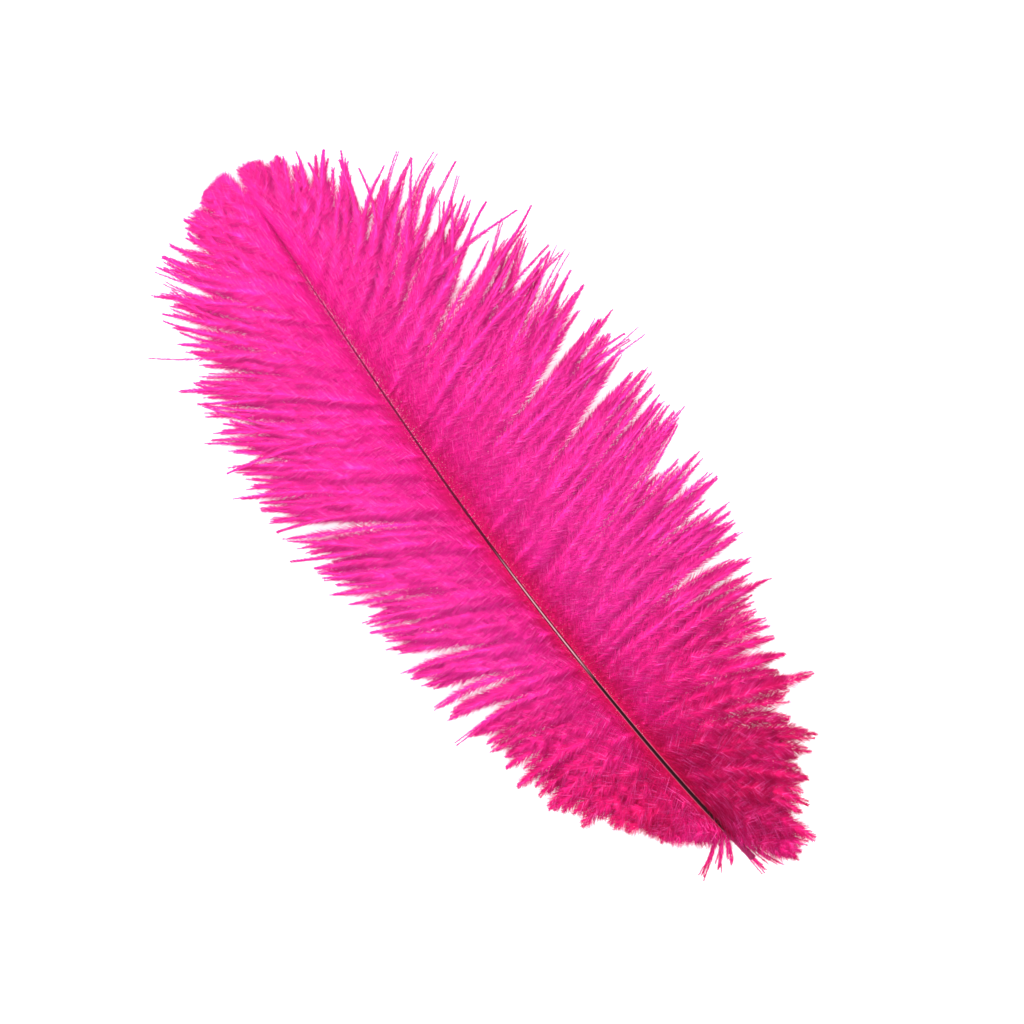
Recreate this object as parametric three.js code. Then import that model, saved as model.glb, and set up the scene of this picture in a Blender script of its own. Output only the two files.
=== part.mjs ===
import {
  BoxGeometry, CubicInterpolant, Group, LatheGeometry, MathUtils, Mesh, MeshStandardMaterial, Vector2,
} from 'three';
import { mergeVertices } from 'three/addons/utils/BufferGeometryUtils.js';

// A dyed ostrich plume, in millimetres. The origin is the middle of the quill's cut end, +X runs along
// the shaft to the tip, +Y is the left vane, -Y the right vane and +Z the face that is shown.

// shaft
const shaftLength = 278;          // cut end of the quill to the last barbs, along X
const shaftBow = 6.4;             // how far the shaft bows to the left
const shaftArch = 8;              // how far it rises over what the plume lies on
const quillLength = 14;           // bare quill below the first barbs
const quillRadius = 1.25;
const quillWall = 0.35;
const quillEndWall = 3;           // dried pulp that closes the cut end
const pulpCapThickness = 0.5;
const pulpCapPlaces = [0.4, 0.75]; // shares of the bare quill
const shaftTipRadius = 0.2;
const shaftThinning = 0.5;        // 1 tapers evenly, less gets thin sooner
const shaftDepth = 1.15;          // height of the shaft's section over its width
const pithSections = 1;           // sections wide enough to hold a core of pith
const shaftSides = 12;

// vanes
const longestLeftBarb = 73;
const longestRightBarb = 86;
const solidReach = 0.92;          // share of a barb over which the barbs lie close together
const lockRootThickness = 1.3;
const lockEndThickness = 1;
const lockBulge = 2;              // extra thickness half way out
const lockEndWidth = 0.3;         // width of a lock's point over its root
const lockTaper = 3;              // 1 narrows evenly, more stays wide first
const sideThinning = 0.6;         // share of its thickness that a lock loses at its sides
const barbDroop = 1.7;            // 1 falls straight to the ground, more stays level first
const underDownWidth = 13;
const underDownLength = 44;
const underDownNarrowing = 0.4;   // share of its width that it loses at its ends
const thinnestDown = 0.3;

// clearances
const seatGap = 0.3;              // between pieces that touch on the real plume
const pithGap = 0.15;
const lockGap = 1.6;              // between two locks of one section
const sectionGap = 2.6;           // between two locks on either side of a flexing point

// where the shaft flexes, as shares of its length, how far each way and how many locks end there
const sections = [
  { name: 'base', end: 0.26, flex: 10, locks: 4 },
  { name: 'lower', end: 0.47, flex: 15, locks: 3 },
  { name: 'middle', end: 0.66, flex: 20, locks: 3 },
  { name: 'upper', end: 0.83, flex: 30, locks: 3 },
  { name: 'tip', end: 1, flex: 0, locks: 3 },
];

const groundLevel = -quillRadius * shaftDepth; // the quill and the ends of the barbs lie on it

// a smooth curve through rows of [share of the shaft, value, value ...]
function curveThrough(rows) {
  const values = rows.flatMap((row) => row.slice(1));
  const curve = new CubicInterpolant(rows.map((row) => row[0]), values, rows[0].length - 1);
  return (share) => Array.from(curve.evaluate(MathUtils.clamp(share, 0, 1)));
}

// share of the shaft: share of the bow, share of the arch
const shaftCourse = curveThrough([
  [0, 0, 0], [0.1, 0.5, 0.28], [0.28, 0.92, 0.72], [0.53, 1, 1], [0.77, 0.56, 0.8], [1, -0.05, 0.2],
]);

// share of the shaft: share of the longest barb, degrees from the shaft at its root and at its point
const vanes = {
  left: {
    side: 1,
    longest: longestLeftBarb,
    barbs: curveThrough([
      [0.05, 0.2, 72, 86], [0.09, 0.38, 75, 94], [0.144, 0.54, 73, 98], [0.255, 0.66, 64, 87],
      [0.39, 0.78, 57, 66], [0.54, 0.94, 52, 58], [0.68, 1, 50, 50], [0.78, 0.96, 48, 42],
      [0.863, 0.76, 43, 30], [0.94, 0.46, 34, 22], [1, 0.2, 13, 6],
    ]),
  },
  right: {
    side: -1,
    longest: longestRightBarb,
    barbs: curveThrough([
      [0.05, 0.27, 146, 180], [0.075, 0.37, 132, 170], [0.105, 0.47, 116, 156], [0.15, 0.58, 100, 136],
      [0.21, 0.68, 87, 117], [0.3, 0.77, 78, 98], [0.42, 0.92, 76, 77], [0.575, 1, 75, 67],
      [0.68, 0.98, 71, 59], [0.773, 0.86, 63, 47], [0.863, 0.62, 54, 38], [0.935, 0.4, 40, 24],
      [1, 0.17, 14, 6],
    ]),
  },
};

const keratin = { color: 0x3a0612, roughness: 0.35, metalness: 0 };
const pulp = { color: 0xd9a8b4, roughness: 0.8, metalness: 0 };
const barb = { color: 0xe82289, roughness: 0.85, metalness: 0 };
const down = { color: 0xc01b5e, roughness: 0.95, metalness: 0 };

const plume = new Group();

// one closed solid: the geometry's vertices go where place() puts them
function addPiece(name, finish, geometry, place) {
  geometry.deleteAttribute('normal');
  geometry.deleteAttribute('uv');
  const position = geometry.attributes.position;
  for (let i = 0; i < position.count; i++) {
    position.setXYZ(i, ...place(position.getX(i), position.getY(i), position.getZ(i)));
  }
  const solid = mergeVertices(geometry, 1e-5);
  solid.computeVertexNormals();
  const piece = new Mesh(solid, new MeshStandardMaterial(finish));
  piece.name = name;
  plume.add(piece);
}

function shaftAt(share) {
  const [bow, arch] = shaftCourse(share);
  return { x: shaftLength * share, y: shaftBow * bow, z: shaftArch * arch };
}

function shaftRadius(share) {
  return MathUtils.lerp(quillRadius, shaftTipRadius, share ** shaftThinning);
}

// a stretch of the shaft as a turned profile of [radius, share], bent along the shaft's course
function addShaftPiece(name, finish, profile, shift = () => 0) {
  const points = profile.map(([radius, share]) => new Vector2(radius, share));
  addPiece(name, finish, new LatheGeometry(points, shaftSides), (across, share, up) => {
    const centre = shaftAt(share);
    return [centre.x + shift(share, up * shaftDepth), centre.y - across, centre.z + up * shaftDepth];
  });
}

function sharesBetween(from, to, steps) {
  return Array.from({ length: steps + 1 }, (_, i) => MathUtils.lerp(from, to, i / steps));
}

function addQuill() {
  const bore = quillRadius - quillWall;
  const top = quillLength / shaftLength;
  const outside = sharesBetween(0, top, 4).map((share) => [shaftRadius(share), share]);
  const inside = sharesBetween(top, quillEndWall / shaftLength, 3).map((share) => [bore, share]);
  addShaftPiece('quill', keratin, [[0, 0], ...outside, ...inside, [0, quillEndWall / shaftLength]]);
  pulpCapPlaces.forEach((place, i) => {
    const from = (quillLength * place) / shaftLength;
    const to = from + pulpCapThickness / shaftLength;
    const radius = bore - pithGap;
    addShaftPiece(`pulp_cap_${i + 1}`, pulp, [[0, from], [radius, from], [radius, to], [0, to]]);
  });
}

// each section starts in a wedge, so that it can tilt against the flat end of the one before it
function addShaftSection(section, from, flexBelow, hasPith) {
  const gap = seatGap / 2 / shaftLength;
  const start = from + gap;
  const end = section.end === 1 ? 1 : section.end - gap;
  const shares = sharesBetween(start, end, 7);
  const wedge = Math.tan(MathUtils.degToRad(flexBelow));
  const shift = (share, up) => (share - start < gap ? Math.abs(up) * wedge : 0);
  const outside = shares.map((share) => [shaftRadius(share), share]);
  if (!hasPith) {
    addShaftPiece(`shaft_${section.name}`, keratin, [[0, start], ...outside, [0, end]], shift);
    return;
  }
  const bore = (share) => shaftRadius(share) - quillWall;
  const inside = [...shares].reverse().map((share) => [bore(share), share]);
  addShaftPiece(`shaft_${section.name}`, keratin, [...outside, ...inside, outside[0]], shift);
  const inset = 2 * gap + (quillRadius * shaftDepth * wedge) / shaftLength;
  const core = sharesBetween(start + inset, end - inset, 6);
  const pith = core.map((share) => [bore(share) - pithGap, share]);
  addShaftPiece(`pith_${section.name}`, pulp, [[0, core[0]], ...pith, [0, core.at(-1)]]);
}

// 1 in the middle of a side that runs from -0.5 to 0.5, less by loss at its ends
function crown(place, loss) {
  return 1 - loss * (2 * place) ** 2;
}

// underside of a barb: its root seats on the shaft, its point lies on the ground
function underBarb(vane, share, along) {
  const root = shaftAt(share);
  const [reach, rootAngle, pointAngle] = vane.barbs(share);
  const halfTurn = MathUtils.degToRad((pointAngle - rootAngle) * along) / 2;
  const heading = MathUtils.degToRad(rootAngle) + halfTurn;
  const arc = vane.longest * reach * solidReach * along;
  const chord = Math.abs(halfTurn) > 1e-6 ? (arc * Math.sin(halfTurn)) / halfTurn : arc;
  const height = root.z - lockRootThickness / 2 - groundLevel;
  return {
    x: root.x + chord * Math.cos(heading),
    y: root.y + vane.side * (shaftRadius(share) + seatGap + chord * Math.sin(heading)),
    z: groundLevel + Math.max(height, 0) * (1 - along ** barbDroop),
  };
}

// a lock of barbs that cling together, from its full width on the shaft to a point
function addLock(name, finish, vane, from, to) {
  addPiece(name, finish, new BoxGeometry(1, 1, 1, 8, 2, 1), (a, b, c) => {
    const along = a + 0.5;
    const width = (to - from) * MathUtils.lerp(1, lockEndWidth, along ** lockTaper);
    const under = underBarb(vane, (from + to) / 2 + vane.side * -b * width, along);
    const root = MathUtils.lerp(lockRootThickness, lockEndThickness, along);
    const thickness = (root + lockBulge * Math.sin(Math.PI * along)) * crown(b, sideThinning);
    return [under.x, under.y, under.z + (c + 0.5) * thickness];
  });
}

function addLocks(section, from) {
  const start = from + (from > 0 ? sectionGap / 2 : quillLength + seatGap) / shaftLength;
  const end = section.end - (section.end < 1 ? sectionGap / 2 : 0) / shaftLength;
  const gap = lockGap / shaftLength;
  const width = (end - start - gap * (section.locks - 1)) / section.locks;
  for (const [side, vane] of Object.entries(vanes)) {
    for (let i = 0; i < section.locks; i++) {
      const low = start + i * (width + gap);
      const isDown = from === 0 && i === 0;
      const name = isDown ? `down_${side}` : `barbs_${side}_${section.name}_${i + 1}`;
      addLock(name, isDown ? down : barb, vane, low, low + width);
    }
  }
}

// soft down between the plume and the ground, up to the shaft and to the roots of the locks beside it
function addUnderDown() {
  const from = (quillLength + seatGap) / shaftLength;
  const to = from + underDownLength / shaftLength;
  addPiece('down_under', down, new BoxGeometry(1, 1, 1, 8, 4, 1), (a, b, c) => {
    const share = MathUtils.lerp(from, to, a + 0.5);
    const centre = shaftAt(share);
    const below = b === 0 ? shaftRadius(share) * shaftDepth : lockRootThickness / 2;
    const height = Math.max(centre.z - below - seatGap - groundLevel, thinnestDown) * crown(b, sideThinning);
    const width = underDownWidth * crown(a, underDownNarrowing);
    return [centre.x, centre.y + b * width, groundLevel + (c + 0.5) * height];
  });
}

addQuill();
addUnderDown();
sections.forEach((section, i) => {
  const from = i ? sections[i - 1].end : 0;
  const shaftFrom = i ? from : quillLength / shaftLength;
  addShaftSection(section, shaftFrom, i ? sections[i - 1].flex : 0, i < pithSections);
  addLocks(section, from);
});

export default plume;
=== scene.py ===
import math
import bpy
import numpy as np
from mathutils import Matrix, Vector


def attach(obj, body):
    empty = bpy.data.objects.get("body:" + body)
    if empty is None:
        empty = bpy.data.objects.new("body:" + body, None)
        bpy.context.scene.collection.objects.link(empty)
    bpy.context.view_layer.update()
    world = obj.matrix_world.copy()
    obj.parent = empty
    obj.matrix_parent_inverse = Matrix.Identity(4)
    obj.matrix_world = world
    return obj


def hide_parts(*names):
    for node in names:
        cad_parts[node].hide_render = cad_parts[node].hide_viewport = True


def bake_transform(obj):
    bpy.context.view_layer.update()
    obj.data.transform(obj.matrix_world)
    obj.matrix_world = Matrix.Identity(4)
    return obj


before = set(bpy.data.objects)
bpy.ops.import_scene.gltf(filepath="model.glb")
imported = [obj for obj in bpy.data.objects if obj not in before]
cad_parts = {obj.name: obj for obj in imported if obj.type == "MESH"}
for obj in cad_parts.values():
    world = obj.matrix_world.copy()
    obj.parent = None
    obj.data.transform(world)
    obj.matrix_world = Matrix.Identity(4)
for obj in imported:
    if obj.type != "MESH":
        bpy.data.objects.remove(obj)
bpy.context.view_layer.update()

mm = 0.001

# A dyed ostrich plume. +X runs along the shaft to the tip, +Y is the left vane, +Z the shown face.
# A share is a place along the shaft: 0 at the quill's cut end, 1 at the last barbs.
shaft = {
    "length": 278 * mm,
    "bow": 6.4 * mm,
    "arch": 8 * mm,
    "quillRadius": 1.25 * mm,
    "tipRadius": 0.2 * mm,
    "thinning": 0.5,  # 1 tapers evenly, less gets thin sooner
    "depth": 1.15,  # height of its section over its width
    "quillLength": 14 * mm,
    "course": [  # share, share of the bow, share of the arch
        (0, 0, 0), (0.1, 0.5, 0.28), (0.28, 0.92, 0.72), (0.53, 1, 1), (0.77, 0.56, 0.8),
        (1, -0.05, 0.2),
    ],
}

# barbs: share, reach over the longest barb, degrees from the shaft at root and at point
# open: share, how far the strands stand apart there
vanes = {
    "left": {
        "side": 1,
        "longest": 73 * mm,
        "barbs": [
            (0.05, 0.12, 72, 86), (0.09, 0.28, 75, 94), (0.144, 0.48, 73, 98), (0.255, 0.66, 64, 87),
            (0.39, 0.82, 57, 66), (0.54, 0.98, 52, 58), (0.68, 1.01, 50, 50), (0.78, 0.96, 48, 42),
            (0.863, 0.77, 43, 30), (0.94, 0.47, 34, 22), (1, 0.215, 13, 6),
        ],
        "open": [
            (0.05, 0), (0.2, 0), (0.4, 0.15), (0.6, 0.35), (0.75, 0.6), (0.86, 0.6), (0.92, 0.15),
            (1, 0),
        ],
    },
    "right": {
        "side": -1,
        "longest": 86 * mm,
        "barbs": [
            (0.05, 0.33, 144, 178), (0.075, 0.44, 130, 167), (0.105, 0.54, 115, 153),
            (0.15, 0.65, 100, 134), (0.21, 0.73, 87, 117), (0.3, 0.84, 78, 98), (0.42, 0.97, 76, 77),
            (0.575, 1.01, 75, 67), (0.68, 0.98, 71, 59), (0.773, 0.86, 63, 47), (0.863, 0.62, 54, 38),
            (0.935, 0.39, 40, 24), (1, 0.157, 14, 6),
        ],
        "open": [
            (0.05, 0.4), (0.12, 0.15), (0.3, 0.1), (0.45, 0.15), (0.58, 0.3), (0.7, 1), (0.88, 0.9),
            (0.94, 0.2), (1, 0),
        ],
    },
}

# the CAD sections: the share at which they end, and how many locks they have on each side
sections = [
    {"name": "base", "body": "quill_and_base", "end": 0.26, "locks": 4},
    {"name": "lower", "body": "lower_section", "end": 0.47, "locks": 3},
    {"name": "middle", "body": "middle_section", "end": 0.66, "locks": 3},
    {"name": "upper", "body": "upper_section", "end": 0.83, "locks": 3},
    {"name": "tip", "body": "tip_section", "end": 1, "locks": 3},
]

ground = -shaft["quillRadius"] * shaft["depth"]
quillShare = shaft["quillLength"] / shaft["length"]


# a smooth curve through rows of (place, value, value ...)
def smoothTable(rows):
    table = np.array(rows, float)
    places, values = table[:, 0], table[:, 1:]
    slopes = np.gradient(values, places, axis=0)

    def at(place):
        place = np.clip(np.asarray(place, float), places[0], places[-1])
        i = np.clip(np.searchsorted(places, place, side="right") - 1, 0, len(places) - 2)
        step = (places[i + 1] - places[i])[..., None]
        t = ((place - places[i]) / (places[i + 1] - places[i]))[..., None]
        return (
            values[i] * (2 * t**3 - 3 * t**2 + 1) + slopes[i] * step * (t**3 - 2 * t**2 + t)
            + values[i + 1] * (3 * t**2 - 2 * t**3) + slopes[i + 1] * step * (t**3 - t**2)
        )

    return at


shaftCourse = smoothTable(shaft["course"])
for vane in vanes.values():
    vane["table"] = smoothTable(vane["barbs"])
    vane["openness"] = smoothTable(vane["open"])


def shaftCentre(share):
    bowArch = shaftCourse(share)
    return np.stack([
        shaft["length"] * np.asarray(share, float),
        shaft["bow"] * bowArch[..., 0],
        shaft["arch"] * bowArch[..., 1],
    ], -1)


def shaftRadius(share):
    taper = np.asarray(share, float) ** shaft["thinning"]
    return shaft["quillRadius"] + (shaft["tipRadius"] - shaft["quillRadius"]) * taper


def ease(low, high, value):
    t = np.clip((np.asarray(value, float) - low) / (high - low), 0, 1)
    return t * t * (3 - 2 * t)


def mix(a, b, t):
    return a + (b - a) * t


# the middle of each of count even stretches between 0 and 1
def evenly(count):
    return (np.arange(count) + 0.5) / count


# points on arcs that start towards degrees and turn by bend: how far out, and in which direction
def arc(degrees, bend, length, along):
    halfTurn = np.radians(bend) * along / 2
    return length * along * np.sinc(halfTurn / np.pi), np.radians(degrees) + halfTurn


barb = {
    "spacing": 0.42 * mm,  # between two barbs on one side of the shaft
    "jitter": 0.3,  # how far a root lies off its even place, over the spacing
    "downCrowding": 1.6,  # times as many barbs where the down begins
    "crowdedTo": (0.08, 0.2),
    "points": 24,  # along each barb
    "seat": 0.75,  # where the roots sit, over the shaft's radius
    "rootRadius": (0.2 * mm, 0.06 * mm),  # near the quill and near the tip
    "rootsThinTo": (0.5, 0.85),
    "pointRadius": 0.075 * mm,
    "downyTo": (0.12, 0.32),  # barbs are downy before this stretch of the shaft
    "evenFrom": (0.9, 0.975),  # and lie evenly after this one
    "evenness": 0.88,
    "seed": 41,
}

# barbs cling together in strands, and strands gather in tufts
tufts = {
    "barbs": (8, 16),
    "hold": (0.05, 0.38),  # how far a tuft draws together at its point
    "downLoosens": 0.6,
    "drift": 0.12,  # how far it leans over its neighbours, over its width
    "gathersFrom": (0.45, 1.1),
    "driftsFrom": (0.2, 1),
    "length": (0.95, 1.04),
    "shoulder": 0.3,  # how much shorter it is at its sides
    "turn": 2.2,  # degrees out of line
    "rise": 0.5,  # over the layer's height
}
strands = {
    "barbs": (2, 4),
    "hold": (0.75, 0.98),
    "holdAtTip": 0.4,
    "gathersFrom": (0.55, 1.05),
    "shortest": (0.92, 0.8),  # where the vane is dense, and where it is open
    "turn": (1.8, 5.5),
    "rise": 0.3,  # over the layer's height
    "cut": 0.16,  # share of the strands that end inside the outline
    "cutLength": (0.55, 0.88),
    "longSink": 0.25,  # the others lie this much lower, over the layer's height
    "raggedDown": 0.22,  # how much shorter strands in the down can be
    "lengthAtTip": 0.99,
    "barbLength": (0.94, 1),
    "barbTurn": 0.6,
}

# strands that stand out from the others
strays = {
    "part": (0.03, 0.42),  # of the strands, where the vane is dense and where it is open
    "hold": 0.1,  # over that of the others in the tuft
    "length": (0.85, 1.02),
    "turn": 24,  # degrees out of line, either way
    "rise": 1.5 * mm,
}

waves = {
    "sway": (0.5 * mm, 1.9 * mm),  # of a strand, where the vane is dense and where it is open
    "count": (0.4, 1.2),  # waves along a strand
    "swaysFrom": (0.1, 0.9),
    "ownSway": (0.12 * mm, 0.75 * mm),  # of a single barb in the vane and in the down
    "ownTurn": 9,  # radians along the barb
    "weave": 0.45 * mm,  # how far a strand rises and dips between the others
    "ownWeave": 0.5,  # of a single barb, over that of its strand
    "downWeave": 1.6,
}

# how the vane lies over the ground
lie = {
    "rootRise": 0.2,  # over the shaft's radius
    "crown": 1.3 * mm,  # rise of the vane between the shaft and the ground
    "crownPlace": 0.8,  # less is nearer to the shaft
    "droop": 1.8,  # 1 falls straight to the ground, more stays level first
    "layer": 0.9 * mm,  # how far tufts lie above and below each other
    "pointHeight": (0.4 * mm, 2.6 * mm),
    "lowest": 0.9 * mm,
}

barbule = {
    "spacing": 0.3 * mm,
    "width": 0.23 * mm,
    "rootLength": 5.2 * mm,
    "pointLength": 1.1 * mm,
    "atRoot": (0.6, 0.15),  # length beside the shaft, near the quill and near the tip
    "fullFrom": 0.08,  # share of the barb after which they have their full length
    "shortFrom": (0.86, 0.68),  # share of the barb after which they get shorter: dense vane, open vane
    "shortOnStrays": 0.55,
    "shortAtTip": 0.92,
    "shortening": 0.7,  # less shortens them sooner
    "inDown": 1.3,  # times as long
    "rootLean": 42,  # degrees between barbule and barb
    "pointLean": 22,
    "leanInDown": 1.25,
    "lengthSpread": 0.4,
    "widthSpread": 0.45,
    "leanSpread": 13,
    "lift": 0.3,  # up or down, over their length
    "clearance": 0.05 * mm,  # over the floor
}

# how light strands, tufts and barbs are, and how much each of them counts
tones = {"middle": 0.5, "wander": 0.22, "strand": 0.6, "tuft": 0.2, "barb": 0.2}


# where the points of a barb lie: share may change along it, which draws a lock together
def barbCourse(vane, share, along, stretch, turn):
    centre = shaftCentre(share)
    reach, rootAngle, pointAngle = np.moveaxis(vane["table"](share), -1, 0)
    chord, heading = arc(rootAngle, pointAngle - rootAngle + turn, vane["longest"] * reach * stretch, along)
    x = centre[..., 0] + chord * np.cos(heading)
    y = centre[..., 1] + vane["side"] * (barb["seat"] * shaftRadius(share) + chord * np.sin(heading))
    return x, y, centre[..., 2]


# a group number for each of count barbs that lie side by side
def clumps(count, sizes, rng):
    group = np.zeros(count, int)
    start = int(rng.integers(sizes[0], sizes[1] + 1))
    while start < count:
        group[start:] += 1
        start += int(rng.integers(sizes[0], sizes[1] + 1))
    return group


def groupMean(values, group):
    return (np.bincount(group, values) / np.bincount(group))[group]


# random values that change smoothly along each of count strands
def wander(count, rng):
    rough = rng.normal(0, 1, (count, barb["points"] + 2))
    return (rough[:, :-2] + 2 * rough[:, 1:-1] + rough[:, 2:]) / 2.45


along = np.linspace(0, 1, barb["points"])[None, :]


# the barbs of one lock: arrays with one row for each barb and one column for each point along it
class Lock:
    def __init__(self, vane, low, high, rng):
        self.vane, self.rng = vane, rng
        crowding = mix(barb["downCrowding"], 1, ease(*barb["crowdedTo"], (low + high) / 2))
        count = max(4, int(round((high - low) * shaft["length"] / barb["spacing"] * crowding)))
        jitter = rng.uniform(-barb["jitter"], barb["jitter"], count)
        self.count = count
        self.share = low + (np.arange(count) + 0.5 + jitter) / count * (high - low)
        self.apart = np.clip(vane["openness"](self.share)[:, 0], 0, 1)
        self.calm = 1 - barb["evenness"] * ease(*barb["evenFrom"], self.share)
        self.downy = 1 - ease(*barb["downyTo"], self.share)
        self.tuft = clumps(count, tufts["barbs"], rng)
        self.strand = clumps(count, strands["barbs"], rng)
        self.tuftWidth = np.bincount(self.tuft)[self.tuft] * (high - low) / count
        self.stray = self.perStrand(rng.random) < mix(*strays["part"], self.apart) * self.calm
        self.cut = (self.perStrand(rng.random) < strands["cut"]) & ~self.stray

    def perTuft(self, draw, *values):
        return draw(*values, self.tuft[-1] + 1)[self.tuft]

    def perStrand(self, draw, *values):
        return draw(*values, self.strand[-1] + 1)[self.strand]

    # shares and lengths: each barb draws nearer to the middle of its strand and of its tuft
    def gather(self):
        rng = self.rng
        strandMiddle = groupMean(self.share, self.strand)
        offTuft = strandMiddle - groupMean(self.share, self.tuft)
        offStrand = self.share - strandMiddle
        tuftHold = self.perTuft(rng.uniform, *tufts["hold"]) * np.where(self.stray, strays["hold"], 1)
        tuftHold = tuftHold * self.calm * (1 - tufts["downLoosens"] * self.downy)
        strandHold = self.perStrand(rng.uniform, *strands["hold"]) * mix(strands["holdAtTip"], 1, self.calm)
        drift = self.perTuft(rng.normal, 0, tufts["drift"]) * self.tuftWidth * self.calm
        share = (
            self.share[:, None] - (offTuft * tuftHold)[:, None] * ease(*tufts["gathersFrom"], along)
            - (offStrand * strandHold)[:, None] * ease(*strands["gathersFrom"], along)
            + drift[:, None] * ease(*tufts["driftsFrom"], along)
        )
        shoulder = 1 - tufts["shoulder"] * tuftHold * (offTuft / self.tuftWidth * 2) ** 2
        return share, self.lengths(shoulder)

    # over the vane's reach
    def lengths(self, shoulder):
        rng = self.rng
        length = self.perTuft(rng.uniform, *tufts["length"])
        length = length * mix(mix(*strands["shortest"], self.apart), 1, self.perStrand(rng.random))
        length = length * rng.uniform(*strands["barbLength"], self.count) * shoulder
        length = np.where(self.cut, length * self.perStrand(rng.uniform, *strands["cutLength"]), length)
        length = np.where(self.stray, self.perStrand(rng.uniform, *strays["length"]), length)
        length = length * (1 - strands["raggedDown"] * self.downy * self.perStrand(rng.random))
        return mix(strands["lengthAtTip"], length, self.calm)

    # in degrees
    def turns(self):
        rng = self.rng
        turn = self.perTuft(rng.normal, 0, tufts["turn"]) + rng.normal(0, strands["barbTurn"], self.count)
        turn = turn + self.perStrand(rng.normal, 0, 1) * mix(*strands["turn"], self.apart)
        turn = turn + np.where(self.stray, self.perStrand(rng.uniform, -1, 1) * strays["turn"], 0)
        return turn * self.calm

    # strands wave from side to side, and barbs in the down wave on their own
    def sways(self):
        rng = self.rng
        phase = self.perStrand(rng.uniform, 0, 2 * math.pi)[:, None]
        count = self.perStrand(rng.uniform, *waves["count"])[:, None]
        sway = np.sin(phase + count * 2 * math.pi * along) * ease(*waves["swaysFrom"], along)
        sway = sway * (mix(*waves["sway"], self.apart) * self.calm)[:, None]
        ownPhase = rng.uniform(0, 2 * math.pi, self.count)[:, None]
        own = np.sin(ownPhase + waves["ownTurn"] * along) * ease(0, 0.5, along)
        return sway + own * mix(*waves["ownSway"], self.downy)[:, None]

    def heights(self, rootHeight):
        rng = self.rng
        rise = self.perTuft(rng.uniform, -tufts["rise"], tufts["rise"])
        rise = rise + self.perStrand(rng.uniform, -strands["rise"], strands["rise"])
        rise = (rise - np.where(self.cut, 0, strands["longSink"])) * lie["layer"]
        weave = wander(self.strand[-1] + 1, rng)[self.strand] + waves["ownWeave"] * wander(self.count, rng)
        pointHeight = ground + rng.uniform(*lie["pointHeight"], self.count)
        pointHeight = pointHeight + np.where(self.stray, strays["rise"], 0)
        root = rootHeight + lie["rootRise"] * shaftRadius(self.share)[:, None]
        z = mix(root, pointHeight[:, None], along ** lie["droop"])
        z = z + (lie["crown"] + rise)[:, None] * np.sin(np.pi * along ** lie["crownPlace"])
        free = ease(0, 0.7, along) * ease(0, 0.15, 1 - along)
        z = z + weave * waves["weave"] * free * mix(1, waves["downWeave"], self.downy)[:, None]
        return np.maximum(z, ground + lie["lowest"])

    def fluff(self):
        shortFrom = np.where(self.stray, barbule["shortOnStrays"], mix(*barbule["shortFrom"], self.apart))
        shortFrom = mix(barbule["shortAtTip"], shortFrom, self.calm)[:, None]
        short = np.clip((along - shortFrom) / (1 - shortFrom), 0, 1) ** barbule["shortening"]
        length = mix(barbule["rootLength"], barbule["pointLength"], short)
        atRoot = mix(*barbule["atRoot"], self.share)[:, None]
        length = length * mix(atRoot, 1, ease(0, barbule["fullFrom"], along))
        return length * mix(1, barbule["inDown"], self.downy)[:, None]

    # how light each barb is along its length
    def tone(self):
        rng = self.rng
        strandTone = tones["middle"] + tones["wander"] * wander(self.strand[-1] + 1, rng)[self.strand]
        tone = tones["strand"] * strandTone + tones["tuft"] * self.perTuft(rng.random)[:, None]
        return np.clip(tone + tones["barb"] * rng.random(self.count)[:, None], 0, 1)

    # guide lines for the barbs, with what the nodes need to know at each point
    def guides(self):
        share, length = self.gather()
        x, y, rootHeight = barbCourse(self.vane, share, along, length[:, None], self.turns()[:, None])
        heading = np.radians(self.vane["table"](self.share)[:, 1])[:, None]
        sway = self.sways()
        x = x - np.sin(heading) * sway
        y = y + self.vane["side"] * np.cos(heading) * sway
        z = self.heights(rootHeight)
        rootRadius = mix(*barb["rootRadius"], ease(*barb["rootsThinTo"], self.share))
        lean = mix(barbule["rootLean"], barbule["pointLean"], along)
        lean = lean * mix(1, barbule["leanInDown"], self.downy)[:, None]
        return {
            "points": np.stack([x, y, z], -1),
            "along": along,
            "share": self.share[:, None],
            "tone": self.tone(),
            "lane": evenly(self.count)[:, None],
            "fluff": self.fluff(),
            "lean": np.radians(lean),
            "thick": mix(rootRadius[:, None], barb["pointRadius"], along**0.5),
        }


# guide lines as a mesh of plain polylines that carries their values
def guideMesh(name, guides):
    points = guides["points"]
    count, steps = points.shape[:2]
    index = np.arange(count * steps).reshape(count, steps)
    edges = np.stack([index[:, :-1], index[:, 1:]], -1).reshape(-1, 2)
    mesh = bpy.data.meshes.new(name)
    mesh.from_pydata(points.reshape(-1, 3).tolist(), edges.tolist(), [])
    for key, value in guides.items():
        if key != "points":
            attribute = mesh.attributes.new(key, "FLOAT", "POINT")
            whole = np.broadcast_to(value, (count, steps)).astype(np.float32)
            attribute.data.foreach_set("value", whole.ravel())
    return mesh


def newObject(name, data):
    thing = bpy.data.objects.new(name, data)
    bpy.context.scene.collection.objects.link(thing)
    return thing


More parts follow.
